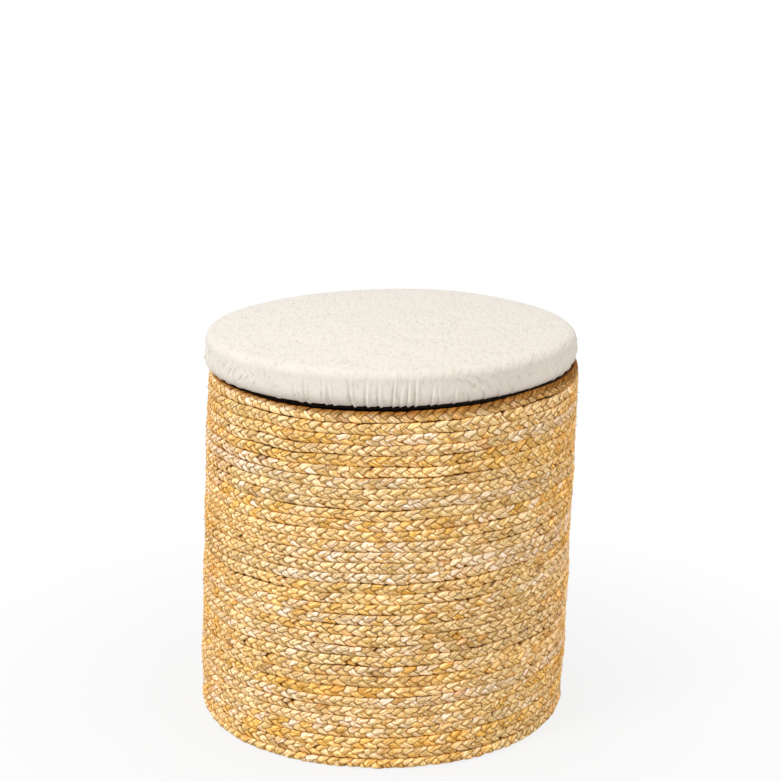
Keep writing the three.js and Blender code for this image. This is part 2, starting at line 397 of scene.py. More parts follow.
cream = linear(255, 238, 216)
straw = linear(255, 227, 173)
gold = linear(252, 207, 120)
greyed = linear(240, 211, 164)
orange = linear(236, 174, 96)
brown = linear(160, 106, 54)
# The dark brown below is painted shade, shown in the holes between petals and on the plait's back.
deep_shade = linear(158, 100, 38)

# How the colours follow each other along a strand, and differ from petal to petal
leaf_seed = 300
strand_seed_step = 10
whole_noise = (41, 330 * mm)
whole_share = 0.7
strand_noise = (leaf_seed + 1, 120 * mm)
strand_share = 0.6
patch_noise = (42, 190 * mm)
patch_share = 0.6
strand_patch_noise = (leaf_seed + 2, 55 * mm)
tone_noise = (43, 240 * mm)
tone_share = 0.07
own_tone_share = 0.08
gold_shares = (-0.2, 0.8)
gold_own_share = 0.2
greyed_shares = (0.1, 0.9)
greyed_patch_share = 0.3
greyed_most_share = 0.6
cream_shares = (0.1, 0.8)
cream_own_share = 0.25
cream_most_share = 0.75
orange_petals_share = 0.025
orange_most_share = 0.45
brown_petals_share = 0.008
brown_most_share = 0.55

# Light and shade painted into the leaf: petals lit from above, dark creases between them, and the shade
# that the lid's edge throws on the top rows
painted_light_share = 0.09
painted_light_reach = 3 * mm
painted_light_up_share = 1.2
painted_light_away_share = 0.5
painted_light_powers = np.array([1, 1.25, 2])
crest_levels = (0.5 * mm, 1.9 * mm)
crest_dark_share = 0.66
crease_levels = (-0.1 * mm, 0.9 * mm)
crease_dark_share = 0.36
groove_dark_share = 0.27
right_shares = (0.3, 1)
right_more_power = 0.9
deeper_shade_least_turns = 4
deeper_shade_noise = (96, 12, 5, deeper_shade_least_turns)
deeper_shade_shares = (0.1, 0.7)
deeper_shade_more_power = 0.8
crease_hidden_share = 0.95
groove_hidden_share = 0.6
hidden_tint = np.array([1, 0.5, 0.02])
side_shade_shares = (0.7, 1)
row_shade_places = (-4.5 * mm, 1.5 * mm)
side_lower_tint = np.array([0.8, 0.66, 0.42])
side_upper_tint = np.array([1.03, 0.97, 0.96])
front_lower_tint = np.array([0.97, 0.93, 0.84])
leaf_tint = np.array([1.045, 1.085, 1.095])
rim_shade_tint = np.array([0.36, 0.22, 0.08])
rim_shade_reach = 9 * mm
rim_shade_more_reach = 7 * mm
rim_shade_inset = 1 * mm


def mixed(colours, other, share):
    return colours * (1 - share[:, None]) + other * share[:, None]


def tinted(share, tint):
    """What a colour is multiplied by where a share of it takes a tint."""
    return 1 - share * (1 - tint)


def leaf_colours(strand, length):
    """The colour of one strand at each petal: slow changes of leaf, and each petal its own."""
    seed = strand_seed_step * strand
    rng = np.random.default_rng(leaf_seed + seed)
    slow = whole_share * noise_along(whole_noise, length)
    slow = slow + strand_share * noise_along(strand_noise, length, seed)
    patch = patch_share * (noise_along(patch_noise, length) + noise_along(strand_patch_noise, length, seed))
    own = rng.uniform(-1, 1, len(length))
    rare = rng.uniform(0, 1, len(length))
    colours = np.tile(straw, (len(length), 1))
    colours = mixed(colours, gold, smoothstep(*gold_shares, slow + gold_own_share * own))
    greyer = smoothstep(*greyed_shares, greyed_patch_share * patch - slow)
    colours = mixed(colours, greyed, greyed_most_share * greyer)
    creamier = smoothstep(*cream_shares, patch + cream_own_share * own)
    colours = mixed(colours, cream, cream_most_share * creamier)
    colours = mixed(colours, orange, orange_most_share * (rare > 1 - orange_petals_share))
    colours = mixed(colours, brown, brown_most_share * (rare < brown_petals_share))
    tone = 1 + own_tone_share * own + tone_share * noise_along(tone_noise, length)
    return colours * tone[:, None]


class PetalLine:
    """The petals along one side of the plait, each with its own small differences."""

    def __init__(self, side, total):
        count = math.ceil(total / petal_pitch) + 2 * spare_petals
        order = np.arange(count)
        rng = np.random.default_rng(petal_seed + side)

        def spread():
            return rng.uniform(-1, 1, count)

        self.side = side
        self.first = -spare_petals
        self.offset = 0 if side > 0 else 1 / 2
        self.place = (order + self.first + self.offset + petal_wander_share * spread()) * petal_pitch
        slow = noise_along(petal_turn_noise, self.place, side)
        self.angle = petal_angle + petal_turn * spread() + petal_slow_turn * slow
        self.half_width = petal_half_width * (1 + petal_width_share * spread())
        self.half_length = petal_half_length * (1 + petal_length_share * spread())
        self.height = petal_height * (1 + petal_height_share * spread())
        self.level = petal_place + petal_place_change * spread()
        loose = noise_along(petal_loose_noise, self.place, side)
        self.reach = petal_reach + petal_reach_change * spread() + petal_loose_change * loose
        size_share = np.where(rng.uniform(0, 1, count) < gap_petals_share, gap_size_share, 1)
        self.half_width = size_share * self.half_width
        self.half_length = size_share * self.half_length
        strand = (order if side > 0 else order + 1) % strand_count
        shades = [leaf_colours(index, self.place) for index in range(strand_count)]
        self.colour = np.choose(strand[:, None], shades)

    def nearest(self, along, step):
        """The petal that lies so many petals on from each place along the plait."""
        order = np.floor(along / petal_pitch - self.offset + 1 / 2).astype(int) - self.first + step
        return np.clip(order, 0, len(self.place) - 1)

    def surface(self, along, across, step):
        """Height, places along and across the petal, and its colour, at each place of the plait."""
        order = self.nearest(along, step)
        away = along - self.place[order]
        up = across - self.side * self.level[order]
        cos, sin = np.cos(self.angle[order]), self.side * np.sin(self.angle[order])
        long = (away * cos + up * sin) / self.half_length[order]
        wide = (up * cos - away * sin) / self.half_width[order]
        side_fall = np.clip(1 - np.abs(wide) ** petal_side_power, 0, 1) ** petal_round_power
        tip_fall = smoothstep(*petal_start_shares, long) * (1 - smoothstep(*petal_end_shares, long))
        reach = self.reach[order] - petal_edge_cut * np.abs(wide) ** 3
        edge_fall = 1 - smoothstep(*petal_edges, np.abs(across) - reach)
        dome = side_fall * tip_fall * edge_fall
        height = self.height[order] * dome + petal_slope * away * np.sqrt(dome) + petal_ground
        # Painted light and shade: each petal a little lighter towards its upper left and darker towards its
        # lower right, as if lit from there.
        towards_sun = (up * painted_light_up_share - away * painted_light_away_share) / painted_light_reach
        painted_light = 1 + painted_light_share * np.clip(towards_sun, -1, 1)
        colour = self.colour[order] * painted_light[..., None] ** painted_light_powers
        on_petal = np.stack([long * petal_half_length, wide * petal_half_width], axis=-1)
        on_petal = on_petal + order[..., None] * petal_fibre_shifts
        return np.where(dome > 0, height, 0), colour, on_petal


def petals_on_top(length, places):
    """Height of the petal on top, height of the next one down, its colour and the place on it."""
    eased = slide_far * noise_along(slide_far_noise, length)
    eased = eased + slide_near * noise_along(slide_near_noise, length)
    steps = (length + eased)[:, None] + 0 * places
    wavered = places + petals_waver * noise_along(petals_waver_noise, length)[:, None]
    best = np.zeros(steps.shape)
    second = np.zeros(steps.shape)
    # Where no petal lies, the plait's ground is painted in shade.
    shade = np.tile(deep_shade, (*steps.shape, 1))
    fibre = np.stack([steps, places], axis=-1)
    for side in (1, -1):
        line = PetalLine(side, float(length[-1]))
        for step in (-1, 0, 1):
            height, colour, on_petal = line.surface(steps, wavered, step)
            higher = height > best
            second = np.where(higher, best, np.maximum(second, height))
            best = np.where(higher, height, best)
            shade = np.where(higher[..., None], colour, shade)
            fibre = np.where(higher[..., None], on_petal, fibre)
    return best, second, shade, fibre


def groove_share(length, places):
    """How deep the groove beside a row is: it changes with how tightly the two rows are stitched."""
    tightness = np.stack(
        [
            tight_middle_share + tight_change_share * noise_along(tight_noise, length + shift)
            for shift in (row_girth, 0)
        ],
        axis=1,
    )
    tightness = np.clip(tightness, *tight_limit_shares)[:, (front_places < 0).astype(int)]
    return smoothstep(groove_start, row_half, np.abs(places)) * tightness


def painted(turns, places, row_places, shade, crest, crease, groove):
    """The leaf's colour with light and shade painted in."""
    to_side = np.cos(coil_angle(turns))
    # Painted shade: the creases are painted darker towards the wall's right side, away from the lamp, and in
    # random patches of rows.
    to_right = smoothstep(*right_shares, to_side)[:, None]
    deeper_shade = smoothstep(*deeper_shade_shares, noise_round(deeper_shade_noise, full_turn * turns, turns))[:, None]
    light = crest_dark_share + (1 - crest_dark_share) * crest
    light = light * (crease_dark_share + (1 - crease_dark_share) * crease) * (1 - groove_dark_share * groove)
    light = light ** (1 + right_more_power * to_right + deeper_shade_more_power * deeper_shade)
    hidden = np.maximum(1 - crest, crease_hidden_share * (1 - crease))
    hidden = np.maximum(hidden, groove_hidden_share * groove)
    colours = shade * light[..., None] * tinted(hidden[..., None], hidden_tint)
    # Painted shade on the lower half of each row: strong and golden at the wall's left and right edges,
    # slight in front, with the upper half a touch lighter at the edges.
    side_shade = smoothstep(*side_shade_shares, np.abs(to_side))[:, None, None]
    lower = (1 - smoothstep(*row_shade_places, places))[..., None]
    side_tint = lower * side_lower_tint + (1 - lower) * side_upper_tint
    front_tint = tinted(lower, front_lower_tint)
    colours = colours * (side_shade * side_tint + (1 - side_shade) * front_tint) * leaf_tint
    reach = (rim_shade_reach + rim_shade_more_reach * to_side)[:, None]
    shade_end = rim_level - rim_shade_inset
    shaded = smoothstep(shade_end - reach, shade_end, row_places)[..., None]
    return colours * tinted(shaded, rim_shade_tint)


def plait_surface(turns, length):
    """The plait as rings of points, with the colour and the place on its petal at each point."""
    scale = row_scale(turns)[:, None]
    places = front_places[None, :] + 0 * length[:, None]
    best, second, shade, fibre = petals_on_top(length, places)
    groove = groove_share(length, places)
    crest = smoothstep(*crest_levels, best)
    crease = smoothstep(*crease_levels, best - second)
    row_places = row_level(turns)[:, None] + places
    colours = painted(turns, places, row_places, shade, crest, crease, groove)

    flattened = floor_flat_share + (1 - floor_flat_share) * smoothstep(0, floor_flat_level, row_places)
    crown = row_crown * (1 - (places / row_half) ** 2)
    relief = best - groove_depth * groove + crown
    front = front_level + relief * (end_flat_share + (1 - end_flat_share) * scale) * flattened
    backs = np.array([
        [back_half, shoulder_level],
        [back_half, back_level],
        [-back_half, back_level],
        [-back_half, shoulder_level],
    ])
    back_places = np.tile(backs[:, 0], (len(turns), 1))
    back_heights = np.tile(backs[:, 1], (len(turns), 1))
    all_places = np.concatenate([places, back_places], axis=1) * scale
    heights = np.concatenate([front, back_heights], axis=1)
    centre, _, _, outward = coil_frame(turns[:, None], all_places)
    points = centre + outward * heights[..., None]
    # The plait's back is painted in shade.
    dark = np.tile(deep_shade, (len(turns), len(backs), 1))
    back_length = np.tile(length[:, None], (1, len(backs)))
    back_fibre = np.stack([back_length, all_places[:, -len(backs):]], axis=-1)
    return points, np.concatenate([colours, dark], axis=1), np.concatenate([fibre, back_fibre], axis=1)


# The plait's pieces

# A flat picture of a tube: its quads in strips of so many rings, with a gap of so many quads between strips
strip_rings = 400
strip_gap_quads = 1.5
quad_fill_share = 0.999


def tube_faces(rings, sides, start=0):
    """Quads round a tube of rings of points, and its two end caps."""
    ring = np.arange(rings - 1)[:, None]
    side = np.arange(sides)[None, :]
    here = start + ring * sides + side
    beside = start + ring * sides + (side + 1) % sides
    quads = np.stack([here, beside, beside + sides, here + sides], axis=-1).reshape(-1, 4)
    first = start + np.arange(sides)[::-1]
    last = start + (rings - 1) * sides + np.arange(sides)
    return quads, np.stack([first, last])


def strip_places(rings, sides, run, strip, strips):
    """Corners in a picture for a tube's quads, cut into runs of rings, each run one strip."""
    ring = np.arange(rings - 1)[:, None]
    side = np.arange(sides)[None, :]
    row = strip + ring // run
    low = (row + (side + strip_gap_quads / 2) / (sides + strip_gap_quads)) / strips
    high = (row + (side + 1 + strip_gap_quads / 2) / (sides + strip_gap_quads)) / strips
    left = np.broadcast_to((ring % run) / run, low.shape)
    right = left + 1 / run * quad_fill_share
    return np.stack([left, low, left, high, right, high, right, low], axis=-1).reshape(-1, 2)


def plait_piece(name, surface, first, last):
    """One piece of the plait, from one ring to another."""
    points, colours, fibre = (part[first:last] for part in surface)
    rings, sides = points.shape[:2]
    quads, caps = tube_faces(rings, sides)
    points = leaned(points.reshape(-1, 3))
    points[:, 2] = np.maximum(points[:, 2], 0)
    made = new_object(name, points, [quads[:, ::-1], caps[:, ::-1]])
    add_colour(made, "leaf", colours.reshape(-1, 3))
    strips = math.ceil((rings - 1) / strip_rings)
    places = strip_places(rings, sides, strip_rings, 0, strips).reshape(-1, 4, 2)
    spare = np.zeros((2 * sides, 2))
    add_uv(made, "OFBake", np.concatenate([places[:, ::-1].reshape(-1, 2), spare]))
    fibre = fibre.reshape(-1, 2)[quads[:, ::-1].ravel()]
    add_uv(made, "fibre", np.concatenate([fibre, spare]))
    return made


# Fibre ends that stand a little off the wall
stray_seed = 51
stray_count = 1600
stray_rings = 7
stray_sides = 4
stray_lengths = (6 * mm, 17 * mm)
stray_slope = 0.9
stray_lifts = (0.3 * mm, 3.4 * mm)
stray_lift_power = 1.6
stray_bend = 2 * mm
stray_place = 4 * mm
stray_root_level = 4 * mm
stray_half_widths = (0.25 * mm, 0.5 * mm)
stray_taper_share = 0.6
stray_flat_share = 0.6
stray_tone_shares = (0.75, 1)


def stray_fibres(material):
    rng = np.random.default_rng(stray_seed)
    rings, sides = stray_rings, stray_sides
    share = np.linspace(0, 1, rings)[:, None]
    corner = np.arange(sides) * full_turn / sides
    points, colours = [], []
    turns = rng.uniform(floor_turn + 1 / 2, wall_rows - 2, stray_count)
    for centre, along, across, outward in zip(*coil_frame(turns)):
        length = rng.uniform(*stray_lengths)
        heading = along * rng.choice([-1, 1]) + across * rng.uniform(-stray_slope, stray_slope)
        lift = rng.uniform(*stray_lifts) * share**stray_lift_power
        bend = rng.uniform(-stray_bend, stray_bend) * share**2
        path = centre + across * rng.uniform(-stray_place, stray_place) + outward * stray_root_level
        path = path + heading / np.linalg.norm(heading) * length * share
        path = path + outward * lift + across * bend
        half_width = rng.uniform(*stray_half_widths) * (1 - stray_taper_share * share)
        sideways = across * (half_width * np.cos(corner))[..., None]
        upwards = outward * (stray_flat_share * half_width * np.sin(corner))[..., None]
        points.append((path[:, None, :] + sideways + upwards).reshape(-1, 3))
        colours.append(np.tile(cream * rng.uniform(*stray_tone_shares), (rings * sides, 1)))
    faces = [tube_faces(rings, sides, index * rings * sides)[0] for index in range(stray_count)]
    made = new_object("stray_fibres", leaned(np.concatenate(points)), [np.concatenate(faces)])
    add_colour(made, "leaf", np.concatenate(colours))
    places = np.concatenate(
        [strip_places(rings, sides, rings, index, stray_count) for index in range(stray_count)]
    )
    add_uv(made, "OFBake", places)
    add_uv(made, "fibre", places)
    finished(made, material, "basket", "plait_wall")


def make_plait():
    turns, length = coil_places()
    surface = plait_surface(turns, length)
    material = leaf_material()
    wall_first = int(np.searchsorted(turns, underside_end_turn))
    edges = np.linspace(wall_first, len(turns) - 1, wall_bands + 1).astype(int)
    parts = [("plait_underside", "plait_base", 0, wall_first + 1)]
    for band, (first, last) in enumerate(zip(edges[:-1], edges[1:])):
        parts.append((f"plait_rows_{band + 1}", "plait_wall", first, last + 1))
    for name, cad_node, first, last in parts:
        finished(plait_piece(name, surface, first, last), material, "basket", cad_node)
    stray_fibres(material)


# Materials. The stops of a ramp are places from 0 to 1, each with a colour.


def set_inputs(tree, made, values):
    """Sets a node's inputs to values, or links them to the outputs of other nodes."""
    for key, value in values.items():
        if isinstance(value, bpy.types.NodeSocket):
            tree.links.new(value, made.inputs[key])
        else:
            made.inputs[key].default_value = value


def new_material(name, shine):
    material = bpy.data.materials.new(name)
    material.use_nodes = True
    tree = material.node_tree
    shader = tree.nodes["Principled BSDF"]
    set_inputs(tree, shader, shine)
    return material, tree, shader


def node(tree, kind, values=None, **settings):
    made = tree.nodes.new(kind)
    for key, value in settings.items():
        setattr(made, key, value)
    set_inputs(tree, made, values or {})
    return made


def ramp(tree, source, stops):
    made = node(tree, "ShaderNodeValToRGB", {"Fac": source})
    elements = made.color_ramp.elements
    for element, (place, colour) in zip(elements, [stops[0], stops[-1]]):
        element.position = place
        element.color = (*colour, 1)
    for place, colour in stops[1:-1]:
        elements.new(place).color = (*colour, 1)
    return made.outputs["Color"]


def grey(value):
    return (value, value, value)


def mapped(tree, source, across, along):
    return node(tree, "ShaderNodeMapping", {"Vector": source, "Scale": (across, along, 1)}).outputs["Vector"]


def noise(tree, vector, scale=1, detail=2, roughness=1 / 2):
    values = {"Vector": vector, "Scale": scale, "Detail": detail, "Roughness": roughness}
    return node(tree, "ShaderNodeTexNoise", values).outputs["Fac"]


def multiplied(tree, first, *others):
    total = first
    for other in others:
        values = {"Factor": 1, "A": total, "B": other}
        mix = node(tree, "ShaderNodeMix", values, data_type="RGBA", blend_type="MULTIPLY")
        total = mix.outputs["Result"]
    return total


def bump(tree, height, **values):
    return node(tree, "ShaderNodeBump", {"Height": height, **values}).outputs["Normal"]


def position_of(tree):
    return node(tree, "ShaderNodeTexCoord").outputs["Object"]


def leaf_strips(tree, places, feature):
    """The long narrow strips of leaf that make up a strand."""
    values = {"Vector": places, "Scale": 1}
    return node(tree, "ShaderNodeTexVoronoi", values, voronoi_dimensions="2D", feature=feature).outputs


# Marks in the leaf for each metre along and across a strand, and how deep they are
strip_rate = (70, 430)
strip_waver_rate = (90, 160)
strip_waver = 1.6
fine_line_rate = (150, 1100)
fine_grain = {"detail": 3, "roughness": 0.6}
strip_relief = {"Distance": 0.7 * mm, "Strength": 0.9}
fine_line_relief = {"Distance": 0.6 * mm, "Strength": 0.7}
leaf_shine = {"Specular IOR Level": 0.08}


def leaf_material():
    material, tree, shader = new_material("dry_leaf", leaf_shine)
    leaf = node(tree, "ShaderNodeVertexColor", layer_name="leaf").outputs["Color"]
    fibre = node(tree, "ShaderNodeUVMap", uv_map="fibre").outputs["UV"]
    waver = noise(tree, mapped(tree, fibre, *strip_waver_rate))
    values = {0: waver, 1: (0, strip_waver, 0), 2: mapped(tree, fibre, *strip_rate)}
    places = node(tree, "ShaderNodeVectorMath", values, operation="MULTIPLY_ADD").outputs["Vector"]
    strip = leaf_strips(tree, places, "F1")["Color"]
    edge = leaf_strips(tree, places, "DISTANCE_TO_EDGE")["Distance"]
    fine = noise(tree, mapped(tree, fibre, *fine_line_rate), **fine_grain)
    own = node(tree, "ShaderNodeSeparateColor", {"Color": strip}).outputs

    light_stops = [(0, (0.8, 0.66, 0.44)), (0.5, grey(1.08)), (1, (1.26, 1.23, 1.42))]
    hue_stops = [(0, (1.02, 0.92, 0.74)), (0.35, grey(1)), (1, grey(1))]
    # Painted shade: the leaf is painted darker where its strips meet, in the creases between them.
    crease_stops = [(0, (0.55, 0.38, 0.16)), (0.05, (0.88, 0.8, 0.64)), (0.12, grey(1))]
    line_stops = [(0.3, (0.64, 0.44, 0.17)), (0.44, grey(1)), (0.55, grey(1.07)), (0.7, (1.28, 1.24, 1.42))]
    gloss_stops = [(0.3, grey(0.85)), (0.75, grey(0.58))]
    rounded_stops = [(0, grey(0)), (0.12, grey(0.7)), (0.4, grey(1))]
    shades = [
        ramp(tree, source, stops)
        for source, stops in (
            (own["Red"], light_stops), (own["Green"], hue_stops), (edge, crease_stops), (fine, line_stops),
        )
    ]
    strips_normal = bump(tree, ramp(tree, edge, rounded_stops), **strip_relief)
    set_inputs(tree, shader, {
        "Base Color": multiplied(tree, leaf, *shades),
        "Roughness": ramp(tree, fine, gloss_stops),
        "Normal": bump(tree, fine, Normal=strips_normal, **fine_line_relief),
    })
    return material


# Marks in the cloth for each metre across and along it, and how deep the weave is
weft_rate = (110, 460)
warp_rate = (460, 110)
speck_rate = (270, 110)
cloud_rate = (35, 35)
crease_rate = (170, 66)
patch_rate = (22, 22)
wave_scale_share = 0.159
weave_relief = {"Distance": 0.08 * mm, "Strength": 0.4}
weft_relief = {"Distance": 0.2 * mm, "Strength": 0.6}
cloth_shine = {"Roughness": 0.92, "Sheen Weight": 0.15, "Sheen Roughness": 0.5}


def cloth_material(name, colour, slub_colour, pitch, slub_share, wrinkle):
    """Plain-woven cloth with slubs in both directions, laid out by the cloth's own flat places."""
    material, tree, shader = new_material(name, cloth_shine)
    flat = node(tree, "ShaderNodeUVMap", uv_map="cloth").outputs["UV"]
    from_middle = node(tree, "ShaderNodeVectorMath", {0: flat}, operation="LENGTH").outputs["Value"]

    def marks(rate, **grain):
        return noise(tree, mapped(tree, flat, *rate), **grain)

    def threads(direction):
        values = {"Vector": flat, "Scale": wave_scale_share / pitch}
        wave = node(tree, "ShaderNodeTexWave", values, wave_type="BANDS", bands_direction=direction)
        return wave.outputs["Color"]

    thread_stops = [(0.3, grey(1 - slub_share)), (0.47, grey(1)), (1, grey(1))]
    speck_stops = [(0.27, slub_colour), (0.43, colour), (1, colour)]
    cloud_stops = [(0.3, grey(0.965)), (0.65, grey(1))]
    # Painted shade: the cover's top a little darker and its rounded corner, which faces the lamp, darker
    # still; the skirt a touch lighter.
    top_and_corner_shade_stops = [(0.182, grey(0.975)), (0.194, grey(0.955)), (0.208, grey(1.01))]
    dent_stops = [(0.28, grey(0)), (0.45, grey(0.6)), (0.55, grey(0.68)), (0.7, grey(1))]
    loose_stops = [(0.192, grey(1)), (0.206, grey(0.2))]
    patch_stops = [(0.35, grey(0.45)), (0.6, grey(1))]

    weft = marks(weft_rate)
    shades = [
        ramp(tree, source, stops)
        for source, stops in (
            (marks(speck_rate), speck_stops),
            (weft, thread_stops),
            (marks(warp_rate), thread_stops),
            (marks(cloud_rate, **fine_grain), cloud_stops),
            (from_middle, top_and_corner_shade_stops),
        )
    ]
    strength = multiplied(
        tree, ramp(tree, from_middle, loose_stops), ramp(tree, marks(patch_rate), patch_stops)
    )
    dents = bump(tree, ramp(tree, marks(crease_rate), dent_stops), Distance=wrinkle, Strength=strength)
    weave = multiplied(tree, threads("X"), threads("Y"))
    woven = bump(tree, weave, Normal=dents, **weave_relief)
    set_inputs(tree, shader, {
        "Base Color": multiplied(tree, *shades),
        "Normal": bump(tree, weft, Normal=woven, **weft_relief),
    })
    return material


# The materials whose colour, gloss and relief all follow one fine noise, some under wider clouds of shade
marked_looks = {
    "fibreboard": {
        "shine": {"Roughness": 0.7},
        "marks": {"scale": 900, "detail": 3, "roughness": 0.7},
        "colours": [(0.3, linear(136, 100, 64)), (0.5, linear(170, 130, 88)), (0.7, linear(190, 152, 108))],
        "clouds": {"scale": 30},
        "cloud_stops": [(0.3, grey(0.9)), (0.7, grey(1))],
        "relief": {"Distance": 0.1 * mm, "Strength": 0.5},
    },
    "pale_foam": {
        "shine": {"Roughness": 0.95},
        "marks": {"scale": 1400, "roughness": 0.6},
        "colours": [(0.3, linear(206, 188, 140)), (0.6, linear(240, 230, 196))],
        "clouds": {"scale": 25},
        "cloud_stops": [(0.3, grey(0.94)), (0.7, grey(1))],
        "relief": {"Distance": 0.3 * mm, "Strength": 0.7},
    },
    # The frame's warm brown-black is partly its black paint and partly painted shade, for the gap under the
    # lid where the top hoop shows.
    "black_wire": {
        "shine": {"Specular IOR Level": 0.12},
        "marks": {"scale": 260, "detail": 4, "roughness": 0.6},
        "colours": [(0.35, linear(12, 7, 4)), (0.7, linear(28, 18, 11))],
        "gloss_stops": [(0.3, grey(0.5)), (0.7, grey(0.75))],
        "relief": {"Distance": 0.08 * mm, "Strength": 0.4},
    },
    "bright_zinc": {
        "shine": {"Metallic": 1},
        "marks": {"scale": 700, "detail": 3, "roughness": 0.6},
        "colours": [(0.35, linear(168, 170, 174)), (0.7, linear(206, 208, 210))],
        "gloss_stops": [(0.3, grey(0.24)), (0.7, grey(0.42))],
    },
}


def marked_material(name):
    look = marked_looks[name]
    material, tree, shader = new_material(name, look["shine"])
    place = position_of(tree)
    marks = noise(tree, place, **look["marks"])
    shades = [ramp(tree, marks, look["colours"])]
    if "clouds" in look:
        shades.append(ramp(tree, noise(tree, place, **look["clouds"]), look["cloud_stops"]))
    values = {"Base Color": multiplied(tree, *shades)}
    if "gloss_stops" in look:
        values["Roughness"] = ramp(tree, marks, look["gloss_stops"])
    if "relief" in look:
        values["Normal"] = bump(tree, marks, **look["relief"])
    set_inputs(tree, shader, values)
    return material


# The elastic's woven ribs
rib_waves = {"Scale": 130, "Distortion": 0.4}
rib_stops = [(0, linear(214, 208, 196)), (1, linear(240, 236, 226))]
rib_relief = {"Distance": 0.2 * mm, "Strength": 0.7}
elastic_shine = {"Roughness": 0.8}


def elastic_material():
    material, tree, shader = new_material("woven_elastic", elastic_shine)
    values = {"Vector": position_of(tree), **rib_waves}
    ribs = node(tree, "ShaderNodeTexWave", values, bands_direction="Z").outputs["Color"]
    set_inputs(tree, shader, {
        "Base Color": ramp(tree, ribs, rib_stops),
        "Normal": bump(tree, ribs, **rib_relief),
    })
    return material


# The stage, the camera and the lamps

white = (1, 1, 1, 1)
room_colour = (1, 0.985, 0.96, 1)
room_strength = 0.71
floor_half = 12
floor_colour = (0.55, 0.55, 0.55, 1)
floor_fade_stops = [(0.2, grey(0.85)), (0.6, grey(1))]
floor_shine = {"Base Color": floor_colour, "Roughness": 0.9, "Specular IOR Level": 0.2}
camera_place = (0, -1.834, 0.831)
camera_tilt = 0.2593
camera_roll = -0.0013
camera_settings = {"sensor_width": 36, "lens": 80.99, "clip_start": 0.05, "clip_end": 50}
key_lamp = {
    "name": "key", "place": (-1.85, -1.45, 2.85), "target": (0, 0, 0.25), "size": 0.9, "power": 67,
    "colour": (1, 0.985, 0.96),
}
fill_lamp = {
    "name": "fill", "place": (2.6, -1.5, 1.0), "target": (0, 0, 0.2), "size": 1.6, "power": 17,
    "colour": (1, 0.9, 0.76),
}


def make_camera():
    data = bpy.data.cameras.new("camera")
    for setting, value in camera_settings.items():
        setattr(data, setting, value)
    camera = bpy.data.objects.new("camera", data)
    camera.location = camera_place
    camera.rotation_euler = Euler((quarter_turn - camera_tilt, 0, camera_roll), "XYZ")
    bpy.context.scene.collection.objects.link(camera)
    bpy.context.scene.camera = camera


def straight_rays(tree):
    """1 for what the camera sees straight, in a reflection or through something clear."""
    rays = node(tree, "ShaderNodeLightPath").outputs
    total = rays["Is Camera Ray"]
    for ray in ("Is Glossy Ray", "Is Transmission Ray"):
        values = {0: total, 1: rays[ray]}
        total = node(tree, "ShaderNodeMath", values, operation="MAXIMUM").outputs["Value"]
    return total


def mix_shaders(tree, share, first, second):
    return node(tree, "ShaderNodeMixShader", {"Fac": share, 1: first, 2: second}).outputs["Shader"]


def make_floor():
    corners = [(-1, -1, 0), (1, -1, 0), (1, 1, 0), (-1, 1, 0)]
    floor = new_object("floor", np.array(corners) * floor_half, [np.array([[0, 1, 2, 3]])])
    material, tree, shader = new_material("pale_floor", floor_shine)
    glow = node(tree, "ShaderNodeEmission", {"Color": white, "Strength": 1}).outputs["Emission"]
    place = node(tree, "ShaderNodeNewGeometry").outputs["Position"]
    distance = node(tree, "ShaderNodeVectorMath", {0: place}, operation="LENGTH").outputs["Value"]
    values = {0: ramp(tree, distance, floor_fade_stops), 1: straight_rays(tree)}
    seen = node(tree, "ShaderNodeMath", values, operation="MULTIPLY").outputs["Value"]
    mix = mix_shaders(tree, seen, shader.outputs["BSDF"], glow)
    tree.links.new(mix, tree.nodes["Material Output"].inputs["Surface"])
    floor.data.materials.append(material)


def make_world():
    world = bpy.data.worlds.new("studio")
    bpy.context.scene.world = world
    world.use_nodes = True
    tree = world.node_tree
    room = tree.nodes["Background"]
    set_inputs(tree, room, {"Color": room_colour, "Strength": room_strength})
    backdrop = node(tree, "ShaderNodeBackground", {"Color": white, "Strength": 1}).outputs["Background"]
    mix = mix_shaders(tree, straight_rays(tree), room.outputs["Background"], backdrop)
    tree.links.new(mix, tree.nodes["World Output"].inputs["Surface"])


def make_lamp(name, place, target, size, power, colour):
    data = bpy.data.lights.new(name, "AREA")
    data.size = size
    data.energy = power
    data.color = colour
    lamp = bpy.data.objects.new(name, data)
    lamp.location = place
    heading = Vector(target) - Vector(place)
    lamp.rotation_euler = heading.to_track_quat("-Z", "Y").to_euler()
    bpy.context.scene.collection.objects.link(lamp)


def make_stage():
    make_camera()
    make_floor()
    make_world()
    make_lamp(**key_lamp)
    make_lamp(**fill_lamp)
    bpy.context.scene.view_settings.view_transform = "Standard"


# Round pieces

turned_sides = 192
corner_steps = 5
corner_reach_share = 1 / 2.2
wire_sides = 16
wire_points = 12
hoop_points = 180
disc_sides = 240
disc_start_share = 0.001


def unit(vectors):
    return vectors / np.linalg.norm(vectors, axis=1, keepdims=True)


def angles_round(sides):
    return (np.arange(sides) * full_turn / sides)[None, :]


def round_points(radius, level, angle):
    """Points at a radius, a height and an angle each."""
    return np.stack([radius * np.cos(angle), radius * np.sin(angle), level], axis=-1).reshape(-1, 3)


def polar_faces(rings, sides, closed=False):
    """Quads between rings of points that go round the axis. A closed section joins last to first."""
    ring = np.arange(rings if closed else rings - 1)[:, None]
    side = np.arange(sides)[None, :]
    here = ring * sides + side
    beside = ring * sides + (side + 1) % sides
    above = (ring + 1) % rings * sides + side
    above_beside = (ring + 1) % rings * sides + (side + 1) % sides
    return np.stack([here, beside, above_beside, above], axis=-1).reshape(-1, 4)


def middle_face(sides):
    """One face that closes the smallest ring of a round piece."""
    return np.arange(sides)[None, :]


